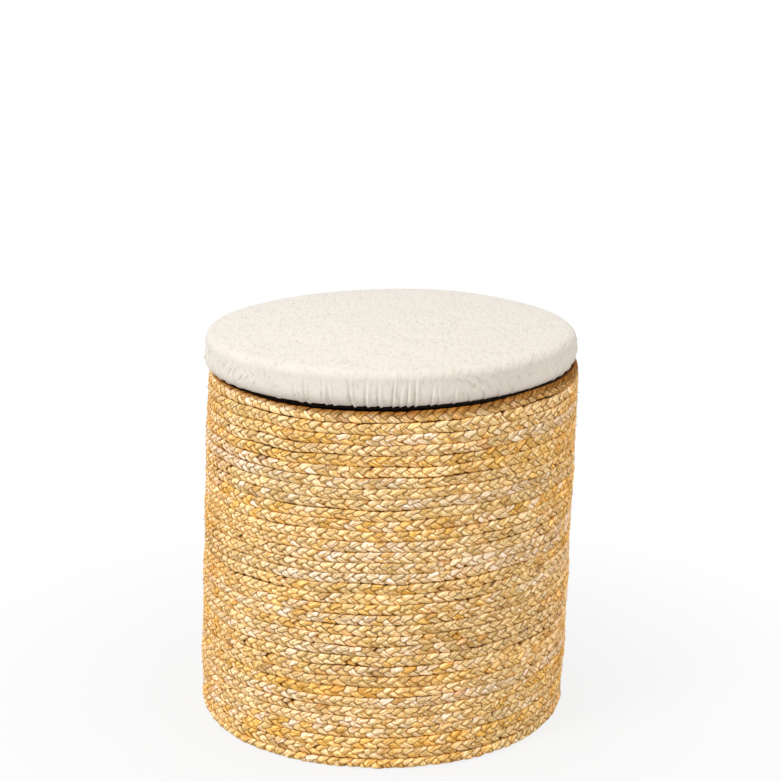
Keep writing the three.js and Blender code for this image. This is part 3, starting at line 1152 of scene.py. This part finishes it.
def turned(name, section, placed, sides=turned_sides, closed=False):
    """A smooth round piece from a section of (radius, height) points, from below outward to the top."""
    section = np.array(section)
    angle = angles_round(sides)
    points = round_points(section[:, :1], section[:, 1:] + 0 * angle, angle)
    return new_object(name, placed(points), [polar_faces(len(section), sides, closed)])


def rounded(corners, radius):
    """A section of (radius, height) corners with each inner corner rounded off."""
    corners = [np.array(corner, float) for corner in corners]
    made = [corners[0]]
    for before, corner, after in zip(corners, corners[1:], corners[2:]):
        back, on = before - corner, after - corner
        back_length, on_length = np.linalg.norm(back), np.linalg.norm(on)
        reach = min(radius, back_length * corner_reach_share, on_length * corner_reach_share)
        start = corner + back / back_length * reach
        end = corner + on / on_length * reach
        for share in np.linspace(0, 1, corner_steps + 1):
            made.append(start * (1 - share) ** 2 + corner * 2 * share * (1 - share) + end * share**2)
    made.append(corners[-1])
    return made


def swept(name, path, radius, closed=False):
    """A round wire along a path of points."""
    path = np.array(path, float)
    if closed:
        heading = unit(np.roll(path, -1, axis=0) - np.roll(path, 1, axis=0))
    else:
        heading = unit(np.gradient(path, axis=0))
    upright = abs(heading[0, 2]) > 1 / 2
    side = unit(np.cross(heading, np.array([1, 0, 0]) if upright else np.array([0, 0, 1])))
    top = np.cross(side, heading)
    corner = (np.arange(wire_sides) * full_turn / wire_sides)[None, :, None]
    ring = side[:, None, :] * np.cos(corner) + top[:, None, :] * np.sin(corner)
    points = path[:, None, :] + radius * ring
    faces = [polar_faces(len(path), wire_sides, closed)]
    if not closed:
        first = np.arange(wire_sides)
        faces.append(np.stack([first[::-1], (len(path) - 1) * wire_sides + first]))
    return new_object(name, leaned(points.reshape(-1, 3)), faces)


def flat_cloth_places(points, name, piece):
    """Gives a cloth piece its flat places in metres, as one map for each corner."""
    loops = np.zeros(len(piece.data.loops), np.int32)
    piece.data.loops.foreach_get("vertex_index", loops)
    add_uv(piece, name, points[loops])


def cloth_disc(name, outer, rings, level_at, placed):
    """A round cloth. `level_at` gives its height at an angle and a radius."""
    share = np.linspace(disc_start_share, 1, rings)[:, None]
    angle = angles_round(disc_sides)
    radius = outer * share + 0 * angle
    points = round_points(radius, level_at(angle, radius), angle)
    piece = new_object(name, placed(points), [polar_faces(rings, disc_sides), middle_face(disc_sides)])
    flat_cloth_places(points[:, :2], "cloth", piece)
    return piece


# The wire frame

upright_inset = row_depth + seat_gap + upright_wire / 2


def upright_radius(level):
    return wall_radius(level) + wall_inset - upright_inset


def make_frame():
    material = marked_material("black_wire")
    for place in ("bottom", "middle", "top"):
        low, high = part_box(f"frame_{place}_ring")
        angle = np.linspace(0, full_turn, hoop_points, endpoint=False)
        path = round_points(high.x - ring_wire / 2, np.full(hoop_points, (low.z + high.z) / 2), angle)
        piece = swept(f"hoop_{place}", path, ring_wire / 2, closed=True)
        finished(piece, material, "basket", f"frame_{place}_ring")
    start, end = foot_top + seat_gap, top_ring_level - ring_wire / 2 - seat_gap
    levels = np.linspace(start, end, wire_points)
    for index in range(upright_count):
        path = round_points(upright_radius(levels), levels, full_turn * index / upright_count)
        piece = swept(f"upright_{index + 1}", path, upright_wire / 2)
        finished(piece, material, "basket", f"frame_upright_{index + 1}")
    for name, cad_node in (("bar_lower", "frame_lower_bar"), ("bar_upper", "frame_upper_bar")):
        low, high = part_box(cad_node)
        across = np.array([high.x, 0, 0] if high.x > high.y else [0, high.y, 0])
        middle = np.array([0, 0, (low.z + high.z) / 2])
        path = [middle + across * share for share in np.linspace(-1, 1, wire_points)]
        finished(swept(name, path, upright_wire / 2), material, "basket", cad_node)


# The base board and the lining

board_edge = 1 * mm
lining_colour = linear(232, 224, 206)
lining_slub_colour = linear(214, 203, 182)
lining_pitch = 0.8 * mm
lining_slub_share = 0.05
lining_wrinkle = 0.8 * mm
floor_rings = 48
ruck = 0.5 * mm
ruck_noise = (31, 16, 9, 50 * mm)
ruck_flat_radius = 30 * mm
sleeve_sides = 720
sleeve_rings = 90
sleeve_clearance = 1.2 * mm
sleeve_flare = 5.6 * mm
sleeve_flare_levels = (363 * mm, 374 * mm)
sleeve_hang_levels = (355 * mm, 374 * mm)
sleeve_held_share = 0.75
sleeve_fold = 0.9 * mm
sleeve_fold_noise = (32, 20, 26, 500 * mm)
sleeve_crinkle = 0.25 * mm
sleeve_crinkle_noise = (33, 24, 70, 120 * mm)
hem_roll = 0.24 * mm
hem_roll_level = 371 * mm
hem_roll_radius = 1.2 * mm
hem_start_level = 368 * mm


def make_inside():
    cotton = cloth_material(
        "lining_cotton", lining_colour, lining_slub_colour, lining_pitch, lining_slub_share, lining_wrinkle
    )
    low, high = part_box("base_board")
    section = rounded([(0, low.z), (high.x, low.z), (high.x, high.z), (0, high.z)], board_edge)
    board = marked_material("fibreboard")
    finished(turned("floor_board", section, leaned), board, "basket", "base_board")

    low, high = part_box("lining_base")

    def rucked(angle, radius):
        relief = ruck * noise_round(ruck_noise, angle, radius)
        return high.z + relief * (1 - radius / high.x) * smoothstep(0, ruck_flat_radius, radius)

    piece = cloth_disc("lining_floor", high.x, floor_rings, rucked, leaned)
    finished(piece, cotton, "basket", "lining_base")

    low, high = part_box("lining_wall")
    share = np.linspace(0, 1, sleeve_rings)[:, None]
    angle = angles_round(sleeve_sides) + 0 * share
    level = low.z + (high.z - low.z) * share + 0 * angle
    inner = upright_radius(level) - upright_wire / 2 - 2 * seat_gap - ring_wire - sleeve_clearance
    flare = smoothstep(*sleeve_flare_levels, level) * sleeve_flare
    hang = 1 - sleeve_held_share * smoothstep(*sleeve_hang_levels, level)
    folds = sleeve_fold * noise_round(sleeve_fold_noise, angle, level)
    crinkles = sleeve_crinkle * noise_round(sleeve_crinkle_noise, angle, level)
    roll = hem_roll * np.cos((level - hem_roll_level) / hem_roll_radius) * (level > hem_start_level)
    radius = inner + flare + hang * (folds + crinkles) - roll
    points = round_points(radius, level, angle)
    piece = new_object("lining_sleeve", leaned(points), [polar_faces(sleeve_rings, sleeve_sides)])
    girth = float(inner.mean() * full_turn)
    around = (angle / full_turn * girth).reshape(-1)
    flat_cloth_places(np.stack([around, level.reshape(-1)], axis=1), "cloth", piece)
    finished(piece, cotton, "basket", "lining_wall")


# The cover's section, from the middle of its top out, down its side and under to the hem's end

top_rings = 44
top_start_share = 0.002
corner_rings = 14
corner_start = 86 * degree
side_rings = 10
under_rings = 16
flange_rings = 8


def cover_section():
    """The cover's outside as (radius, height) points."""
    corner_middle = lid_radius - lid_corner_radius
    corner_top = side_top_level + lid_corner_radius
    made = [
        (corner_middle * share, corner_top + lid_crown * (1 - share**2))
        for share in np.linspace(top_start_share, 1, top_rings)
    ]
    for turn in np.linspace(corner_start, 0, corner_rings):
        level = side_top_level + lid_corner_radius * math.sin(turn)
        made.append((corner_middle + lid_corner_radius * math.cos(turn), level))
    for level in np.linspace(side_top_level, side_foot_level, side_rings)[1:]:
        made.append((lid_radius, level))
    for turn in np.linspace(0, quarter_turn, under_rings)[1:]:
        level = side_foot_level - (side_foot_level - cover_underside) * math.sin(turn)
        made.append((flange_radius + (lid_radius - flange_radius) * math.cos(turn), level))
    made += [
        (radius, cover_underside)
        for radius in np.linspace(flange_radius, channel_outer_radius, flange_rings)[1:-1]
    ]
    channel = [
        (channel_outer_radius + channel_lip, cover_underside),
        (channel_outer_radius, channel_underside),
        (channel_inner_radius, channel_underside),
        (channel_inner_radius, flange_top),
    ]
    return np.array(made + [tuple(point) for point in rounded(channel, channel_corner)])


# Folds of the gathered skirt that show in front: place in degrees, lean, height share, depth share
front_folds = [
    (-66, 1.3, 0.5, 0.4), (-60, 1.4, 0.4, 0.4), (-54, 1.2, 0.4, 0.4), (-47, 1, 0.35, 0.3),
    (-35.5, -0.7, 0.8, 0.8), (-27.4, -0.7, 0.45, 0.9), (-24.8, 0.05, 0.7, 1.1), (-19.3, 0.05, 0.75, 0.7),
    (-16.6, -0.6, 0.7, 0.9), (-10.6, -0.3, 0.85, 1.25), (-6.8, 0.35, 0.8, 0.9), (-3, 0, 0.75, 0.9),
    (0.5, 0.45, 0.85, 0.9), (2.6, 0.5, 0.6, 0.6), (4.8, 0.45, 0.85, 0.9), (7, 0.35, 0.85, 1),
    (11.6, 0.5, 0.6, 0.7), (13.8, 0.2, 0.6, 0.5), (18.4, 0.6, 0.5, 0.5), (24, -1.3, 0.6, 0.5),
    (29, -1.5, 0.7, 0.55), (34, -1.4, 0.7, 0.5), (39, -1.2, 0.6, 0.45), (46, 0.8, 0.5, 0.4),
    (59, 0.2, 0.55, 0.7), (64, -0.3, 0.5, 0.8),
]

# Short slanting wrinkles of the skirt: place in degrees, place down the skirt, slant, length, depth in mm
front_wrinkles = [
    (-59, 0.35, 50, 9, 0.6), (-56, 0.45, 48, 10, 0.8), (-53, 0.4, 46, 11, 0.8), (-50, 0.5, 42, 10, 0.7),
    (-47, 0.45, 40, 9, 0.7), (-44, 0.55, 45, 8, 0.6), (-62, 0.3, 55, 8, 0.5), (20, 0.25, -38, 9, 0.6),
    (23, 0.35, -42, 12, 0.8), (26, 0.3, -48, 14, 0.8), (29, 0.45, -50, 15, 0.9), (32.5, 0.4, -55, 16, 0.9),
    (36, 0.5, -58, 15, 0.8), (40, 0.45, -60, 13, 0.7), (44, 0.4, -50, 10, 0.5), (-31, 0.3, -60, 9, 0.5),
]

# Folds elsewhere, in bunches, and how every fold is shaped. Angles of places are in degrees.
fold_seed = 71
folds_from, folds_to = -28, 212
bunches_round = 4.3
fold_gaps = (2.6, 4.5)
fold_spare_gap = 5
fold_lean = 0.9
fold_reach_shares = (0.4, 0.85)
fold_depth_shares = (0.35, 0.7)
bunched_depth_share = 0.35
fold_shape_seed = 72
fold_widths = (1.0 * mm, 1.6 * mm)
fold_bend_share = 0.3
fold_lean_reach = 9 * mm
fold_bend_reach = 6 * mm
fold_depth = 2.7 * mm
fold_fade_share = 0.15
fold_full_share = 0.35
furrow_depth_share = 0.75
furrow_place_share = 1.9
furrow_width_share = 0.9
hem_fade_shares = (0.68, 0.97)
hem_fade_share = 0.55

# Wrinkles elsewhere, in degrees and mm as above, and how every wrinkle is shaped
wrinkle_seed = 77
wrinkle_places = np.arange(62, 298, 4.5)
wrinkle_slants = (35, 65)
wrinkle_wander = 2
wrinkle_down_shares = (0.2, 0.6)
wrinkle_lengths = (7, 14)
wrinkle_depths = (0.3, 0.8)
wrinkle_half_width = 1.1 * mm
wrinkle_furrow_share = 0.8
wrinkle_furrow_place = 2 * mm
wrinkle_furrow_width = 1 * mm
wrinkle_rise_share = 1.3

# The cover's unevenness and how it hangs
cover_sides = 1440
skirt_start_inset = 3 * mm
lower_edge_margin = 0.5 * mm
under_shares = (1.0, 1.12)
under_fold_share = 0.95
on_top_shares = (-0.2, 0.3)
soft_rise = 0.45 * mm
soft_noise = (73, 30, 7, 90 * mm)
soft_radius = 0.05
sag = 0.7 * mm
sag_noise = (74, 16, 6, 80 * mm)
hem_ruffle = 0.35 * mm
hem_ruffle_noise = (75, 30, 110, 30 * mm)
hem_shares = (1.35, 1.5)
scallop_share = 0.125
scallop_width_share = 0.12
most_scallop = 0.8 * mm
hang_depth = 2.4 * mm
hang_place = 22 * degree
hang_power = 4
hang_radii = (186 * mm, 192 * mm)
hang_levels = (392 * mm, 400 * mm)
full_back_rise = 2.6 * mm
full_back_place = -9 * degree
full_back_power = 5
full_back_levels = (396 * mm, 412 * mm)
full_back_radii = (0.06, 0.17)
bake_width_share = 2.02
cover_colour = linear(233, 227, 219)
cover_slub_colour = linear(217, 208, 196)
cover_pitch = 0.9 * mm
cover_slub_share = 0.06
cover_wrinkle = 1.5 * mm


def angle_of(place):
    """The angle round the axis of a place in degrees from the front, towards +X."""
    return (place - 90) * degree


def wrinkle_table():
    """Every short wrinkle round the skirt: the ones in front, and scattered ones elsewhere."""
    rng = np.random.default_rng(wrinkle_seed)
    table = list(front_wrinkles)
    for place in wrinkle_places:
        slant = rng.choice([-1, 1]) * rng.uniform(*wrinkle_slants)
        spot = place + rng.uniform(-wrinkle_wander, wrinkle_wander)
        down = rng.uniform(*wrinkle_down_shares)
        table.append((spot, down, slant, rng.uniform(*wrinkle_lengths), rng.uniform(*wrinkle_depths)))
    return table


def wrinkle_relief(angle, down, height):
    """How far the short wrinkles push the skirt out. `height` is the length of the skirt's section."""
    relief = np.zeros(np.broadcast(angle, down).shape)
    for place, spot, slant, length, depth in wrinkle_table():
        aside, up = angle_from(angle_of(place), angle) * lid_radius, (spot - down) * height
        cos, sin = math.cos(slant * degree), math.sin(slant * degree)
        along, across = aside * cos + up * sin, up * cos - aside * sin
        furrow = np.exp(-(((across + wrinkle_furrow_place) / wrinkle_furrow_width) ** 2))
        ridge = np.exp(-((across / wrinkle_half_width) ** 2)) - wrinkle_furrow_share * furrow
        fade = np.exp(-((along / (length / 2 * mm)) ** 4))
        relief += wrinkle_rise_share * depth * mm * ridge * fade
    return relief


def fold_table():
    """Every fold round the skirt: the ones in front, and scattered bunches elsewhere."""
    rng = np.random.default_rng(fold_seed)
    table = [(angle_of(place), lean, reach, depth) for place, lean, reach, depth in front_folds]
    place = folds_from
    while place < folds_to:
        bunched = (1 + math.sin(place * bunches_round * degree)) / 2
        place += rng.uniform(*fold_gaps) + fold_spare_gap * (1 - bunched)
        lean, reach = rng.uniform(-fold_lean, fold_lean), rng.uniform(*fold_reach_shares)
        depth = rng.uniform(*fold_depth_shares) + bunched_depth_share * bunched
        table.append((place * degree, lean, reach, depth))
    return table


def skirt_relief(angle, down):
    """How far the folds push the skirt out. `down` is 0 at the corner and 1 at the lower edge."""
    relief = np.zeros(np.broadcast(angle, down).shape)
    rng = np.random.default_rng(fold_shape_seed)
    up = 1 - down
    for place, lean, reach, depth in fold_table():
        width = rng.uniform(*fold_widths) / lid_radius
        bend = rng.uniform(-fold_bend_share, fold_bend_share)
        aside = up * lean * fold_lean_reach + bend * up**2 * fold_bend_reach
        away = angle_from(place + aside / lid_radius, angle)
        fade = smoothstep(1 - reach - fold_fade_share, 1 - reach * fold_full_share, down)
        furrow = np.exp(-(((away + furrow_place_share * width) / (furrow_width_share * width)) ** 2))
        ridge = np.exp(-((away / width) ** 2)) - furrow_depth_share * furrow
        relief += ridge * fade * depth * fold_depth
    return relief * (1 - hem_fade_share * smoothstep(*hem_fade_shares, down))


def cover_relief(angle, down, radius, level, height):
    """How far the cover stands off its plain section."""
    all_round = angle + 0 * down
    under = smoothstep(*under_shares, down)
    on_top = 1 - smoothstep(*on_top_shares, down)
    relief = skirt_relief(angle, np.clip(down, 0, 1)) * (1 - under_fold_share * under)
    relief = relief + wrinkle_relief(angle, down, height) * (1 - under)
    soft = noise_round(soft_noise, all_round, radius) * on_top * smoothstep(0, soft_radius, radius)
    sagging = noise_round(sag_noise, all_round, level) * (1 - on_top) * (1 - under)
    ruffled = noise_round(hem_ruffle_noise, all_round, level) * smoothstep(*hem_shares, down)
    return relief + soft_rise * soft + sag * sagging + hem_ruffle * ruffled


def make_cover():
    section = cover_section()
    lengths = np.concatenate([[0], np.cumsum(np.linalg.norm(np.diff(section, axis=0), axis=1))])
    heading = unit(np.gradient(section, axis=0))
    normal = np.stack([-heading[:, 1], heading[:, 0]], axis=1)
    angle = angles_round(cover_sides)
    radius, level = section[:, :1] + 0 * angle, section[:, 1:] + 0 * angle
    skirt_start = lengths[np.argmax(section[:, 0] > lid_radius - skirt_start_inset)]
    edge = lengths[np.argmax(section[:, 1] < cover_underside + lower_edge_margin)]
    down = ((lengths - skirt_start) / (edge - skirt_start))[:, None]
    relief = cover_relief(angle, down, radius, level, edge - skirt_start)
    at_edge = np.exp(-(((down - 1) / scallop_width_share) ** 2))
    scallop = scallop_share * skirt_relief(angle, np.ones_like(down)) * at_edge

    radius = radius + relief * normal[:, :1]
    level = level + relief * normal[:, 1:] + np.clip(scallop, 0, most_scallop)
    plain_level = section[:, 1:]
    hanging = smoothstep(*hang_radii, radius) * (1 - smoothstep(*hang_levels, plain_level))
    level = level - hang_depth * np.clip(-np.sin(angle - hang_place), 0, 1) ** hang_power * hanging
    at_back = np.clip(np.sin(angle - full_back_place), 0, 1) ** full_back_power
    on_pad = smoothstep(*full_back_levels, plain_level) * smoothstep(*full_back_radii, radius)
    level = level + full_back_rise * at_back * on_pad
    points = round_points(radius, level, angle)
    faces = [polar_faces(len(section), cover_sides)[:, ::-1], middle_face(cover_sides)]
    piece = new_object("lid_cover_cloth", set_down(points), faces)
    flat = round_points(lengths[:, None], 0 * level, angle)[:, :2]
    flat_cloth_places(flat, "cloth", piece)
    flat_cloth_places(flat / (bake_width_share * lengths[-1]) + 1 / 2, "OFBake", piece)
    thicken = piece.modifiers.new("thickness", "SOLIDIFY")
    thicken.thickness = cloth_thickness
    thicken.offset = -1
    material = cloth_material(
        "cover_cloth", cover_colour, cover_slub_colour, cover_pitch, cover_slub_share, cover_wrinkle
    )
    finished(piece, material, "lid", "lid_cover")


# What the cover holds

pad_inset = 1.2 * mm
pad_corner_inset = 1 * mm
pad_top_inset = 1.5 * mm
pad_lower_edge = 0.8 * mm
pad_under_shares = np.linspace(0.05, 0.97, 24)
pad_corner_rings = 10
pad_top_rings = 30
pad_sides = 240
panel_bevel = 5 * mm
panel_edge = 0.8 * mm
disc_bevel = 2 * mm
disc_edge = 1 * mm
under_cloth_rings = 40
under_cloth_rise = 0.1 * mm
under_cloth_noise = (41, 12, 7, 60 * mm)
elastic_gap = 1.6 * mm
elastic_edge = 0.5 * mm
elastic_join = 0.9 * mm
elastic_join_gap = 0.1 * mm
elastic_sides = 360


def make_pad():
    low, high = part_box("lid_foam")
    corner = lid_corner_radius - pad_corner_inset
    outer = high.x - pad_inset
    side_top = side_top_level - pad_top_inset
    section = [(0, low.z)]
    section += [(outer * share, low.z) for share in pad_under_shares]
    section += [(outer, low.z + pad_lower_edge), (outer, side_top)]
    for turn in np.linspace(0, quarter_turn, pad_corner_rings)[1:]:
        section.append((outer - corner + corner * math.cos(turn), side_top + corner * math.sin(turn)))
    for share in np.linspace(1, 0, pad_top_rings)[1:]:
        crown = (lid_crown - pad_top_inset) * (1 - share**2)
        section.append(((outer - corner) * share, side_top + corner + crown))
    pad = turned("lid_pad", section, set_down, sides=pad_sides)
    finished(pad, marked_material("pale_foam"), "lid", "lid_foam")


def make_lid_inside():
    make_pad()
    board = marked_material("fibreboard")
    for name, cad_node, bevel, edge in (
        ("lid_panel", "lid_board", panel_bevel, panel_edge),
        ("locating_panel", "locating_disc", disc_bevel, disc_edge),
    ):
        low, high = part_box(cad_node)
        bevelled = [(high.x - bevel, low.z), (high.x, low.z + bevel), (high.x, high.z)]
        section = rounded([(0, low.z), *bevelled, (0, high.z)], edge)
        finished(turned(name, section, set_down), board, "lid", cad_node)

    low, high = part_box("lid_under_cloth")

    def nearly_flat(angle, radius):
        return (low.z + high.z) / 2 + under_cloth_rise * noise_round(under_cloth_noise, angle, radius)

    piece = cloth_disc("lid_lining_cloth", high.x, under_cloth_rings, nearly_flat, set_down)
    cotton = bpy.data.materials["lining_cotton"]
    finished(piece, cotton, "lid", "lid_under_cloth")

    low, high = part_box("hem_elastic")
    outer, inner = channel_outer_radius - elastic_gap, channel_inner_radius + elastic_gap
    corners = [
        (outer, low.z + elastic_join + elastic_join_gap),
        (outer, high.z),
        (inner, high.z),
        (inner, low.z),
        (outer, low.z),
        (outer, low.z + elastic_join),
    ]
    section = rounded(corners, elastic_edge)
    band = turned("hem_elastic_band", section, set_down, sides=elastic_sides, closed=True)
    finished(band, elastic_material(), "lid", "hem_elastic")


# Countersunk screws with a cross recess in the head, which faces down

screw_count = 4
screw_sides = 48
head_rings = 26
head_start_share = 0.02
cone_rings = 5
cone_depth = 2.4 * mm
shank_radius = 2 * mm
thread_rings = 60
thread_ring_groups = 4
thread_start = 2.6 * mm
thread_end_inset = 3 * mm
thread_depth = 0.35 * mm
point_radius = 0.05 * mm
recess_half_widths = (0.35 * mm, 0.6 * mm)
recess_reaches = (1.8 * mm, 2.5 * mm)
recess_depth = 1.6 * mm
head_face_margin = 0.01 * mm


def make_screws():
    material = marked_material("bright_zinc")
    angle = angles_round(screw_sides)
    for index in range(screw_count):
        cad_node = f"disc_screw_{index + 1}"
        low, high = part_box(cad_node)
        middle = np.array([(low.x + high.x) / 2, (low.y + high.y) / 2, low.z])
        head, length = (high.x - low.x) / 2, high.z - low.z
        in_groove = np.arange(thread_rings) % thread_ring_groups < thread_ring_groups / 2
        radii = np.concatenate([
            np.linspace(head_start_share, 1, head_rings) * head,
            np.linspace(head, shank_radius, cone_rings)[1:],
            shank_radius - thread_depth * in_groove,
            [point_radius],
        ])
        levels = np.concatenate([
            np.zeros(head_rings),
            np.linspace(0, cone_depth, cone_rings)[1:],
            np.linspace(thread_start, length - thread_end_inset, thread_rings),
            [length],
        ])
        radius, level = radii[:, None] + 0 * angle, levels[:, None] + 0 * angle
        x, y = np.abs(radius * np.cos(angle)), np.abs(radius * np.sin(angle))
        in_arm = 1 - smoothstep(*recess_half_widths, np.minimum(x, y))
        recess = in_arm * (1 - smoothstep(*recess_reaches, np.maximum(x, y)))
        level = level + recess * recess_depth * (level < head_face_margin)
        points = round_points(radius, level, angle) + middle
        piece = new_object(f"screw_{index + 1}", set_down(points), [polar_faces(len(radii), screw_sides)])
        finished(piece, material, "lid", cad_node)


make_stage()
make_plait()
make_frame()
make_inside()
make_cover()
make_lid_inside()
make_screws()
